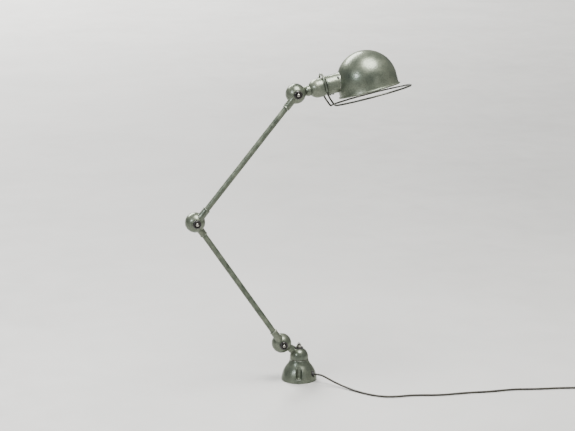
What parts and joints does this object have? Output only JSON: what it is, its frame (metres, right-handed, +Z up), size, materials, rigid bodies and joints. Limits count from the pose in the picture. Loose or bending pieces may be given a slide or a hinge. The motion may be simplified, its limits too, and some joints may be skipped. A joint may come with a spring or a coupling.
{
  "type": "two-arm work lamp",
  "caption": "Jointed work lamp: screw-down bell base with swivel cap, two tubular arms on ball joints with clamp knobs, domed shade with ring handle, mains cord and plug.",
  "frame": {"origin": "centre of the bell underside, on the surface it is screwed to, and centre of the circle of fixing holes", "axes": "+Z up along the base swivel axis; arms fold in planes parallel to XZ, elbow towards -X and head towards +X; clamp knobs face -Y"},
  "size_m": [1.0658, 0.3278, 0.8429],
  "materials": {
    "bell_enamel": "glossy green-grey hammered enamel on a casting, worn at the foot",
    "casting_enamel": "glossy green-grey hammered enamel",
    "tube_enamel": "green-grey enamel, rubbed darker",
    "head_enamel": "glossy green-grey hammered enamel",
    "shade_enamel": "glossy green-grey hammered enamel outside, white enamel inside",
    "handle_enamel": "dark olive enamel worn to bare steel in places",
    "bright_steel": "zinc plated, slightly dulled",
    "plug_pin_metal": "nickel plated",
    "bakelite": "moulded black",
    "black_screw": "blackened steel",
    "contact_brass": "tarnished",
    "fibre": "vulcanised fibre",
    "black_rubber": "moulded, matte",
    "cord_sheath": "dark brown-black sheath with a dull shine",
    "plug_plastic": "moulded, fine texture",
    "wire_insulation": "satin",
    "porcelain": "glazed white",
    "bulb_base": "rolled screw cap",
    "bulb_glass": "frosted inside"
  },
  "bodies": {
    "base": {"base_bell": "bell_enamel", "swivel_stud": "bright_steel", "stud_nut": "bright_steel", "thrust_washer": "fibre", "terminal_block": "bakelite", "terminal_screws": "contact_brass", "cord_grommet": "black_rubber", "power_cord": "cord_sheath", "cord_coil": "cord_sheath", "plug_lead": "cord_sheath", "plug_body": "plug_plastic", "plug_pins": "plug_pin_metal"},
    "turret": {"turret_cap": "casting_enamel", "joint1_bolt": "bright_steel", "joint1_far_disc": "bakelite", "joint1_pins": "contact_brass", "joint1_washer": "fibre"},
    "lower_arm": {"lower_foot_half": "casting_enamel", "lower_tube": "tube_enamel", "lower_head_half": "casting_enamel", "lower_wires": "wire_insulation", "joint1_near_disc": "bakelite", "joint1_rings": "contact_brass", "joint2_bolt": "bright_steel", "joint2_far_disc": "bakelite", "joint2_pins": "contact_brass", "joint2_washer": "fibre"},
    "upper_arm": {"upper_foot_half": "casting_enamel", "upper_tube": "tube_enamel", "upper_head_half": "casting_enamel", "upper_wires": "wire_insulation", "joint2_near_disc": "bakelite", "joint2_rings": "contact_brass", "joint3_near_disc": "bakelite", "joint3_rings": "contact_brass"},
    "head_bracket": {"head_stub": "casting_enamel", "joint3_bolt": "bright_steel", "joint3_far_disc": "bakelite", "joint3_pins": "contact_brass", "joint3_washer": "fibre", "stub_locknut": "contact_brass"},
    "head": {"socket_housing": "head_enamel", "housing_screw": "black_screw", "neck_sleeve": "head_enamel", "neck_screws": "black_screw", "shade": "shade_enamel", "ring_handle": "handle_enamel", "lampholder": "porcelain", "lampholder_shell": "contact_brass", "bulb_cap": "bulb_base", "bulb_glass": "bulb_glass"},
    "shoulder_knob": {"clamp_knob_1": "bakelite", "knob_nut_1": "bright_steel"},
    "elbow_knob": {"clamp_knob_2": "bakelite", "knob_nut_2": "bright_steel"},
    "wrist_knob": {"clamp_knob_3": "bakelite", "knob_nut_3": "bright_steel"},
    "swivel_nut": {"lock_washer": "bakelite", "lock_nut": "bright_steel"}
  },
  "joints": [
    {"name": "base_swivel", "type": "hinge", "parent": "base", "child": "turret", "pos_m": [0, 0, 0.06], "axis": [0, 0, 1], "range_deg": [-165, 165]},
    {"name": "shoulder", "type": "hinge", "parent": "turret", "child": "lower_arm", "pos_m": [-0.0475, -0.006, 0.101], "axis": [0, 1, 0], "range_deg": [-49, 44]},
    {"name": "elbow", "type": "hinge", "parent": "lower_arm", "child": "upper_arm", "pos_m": [-0.27118, -0.03, 0.43262], "axis": [0, 1, 0], "range_deg": [-100, 50]},
    {"name": "wrist", "type": "hinge", "parent": "upper_arm", "child": "head_bracket", "pos_m": [-0.01728, -0.03, 0.74171], "axis": [0, 1, 0], "range_deg": [-80, 75]},
    {"name": "head_roll", "type": "hinge", "parent": "head_bracket", "child": "head", "pos_m": [-0.01683, -0.026, 0.73976], "axis": [0.9744, 0, 0.225], "range_deg": [-160, 160]},
    {"name": "shoulder_knob_turn", "type": "hinge", "parent": "lower_arm", "child": "shoulder_knob", "pos_m": [-0.0475, -0.006, 0.101], "axis": [0, -1, 0], "range_deg": [0, 300]},
    {"name": "elbow_knob_turn", "type": "hinge", "parent": "upper_arm", "child": "elbow_knob", "pos_m": [-0.27118, -0.03, 0.43262], "axis": [0, -1, 0], "range_deg": [0, 300]},
    {"name": "wrist_knob_turn", "type": "hinge", "parent": "upper_arm", "child": "wrist_knob", "pos_m": [-0.01728, -0.03, 0.74171], "axis": [0, -1, 0], "range_deg": [0, 300]},
    {"name": "swivel_nut_turn", "type": "hinge", "parent": "base", "child": "swivel_nut", "pos_m": [0, 0, 0.09], "axis": [0, 0, 1], "range_deg": [0, 300]}
  ]
}
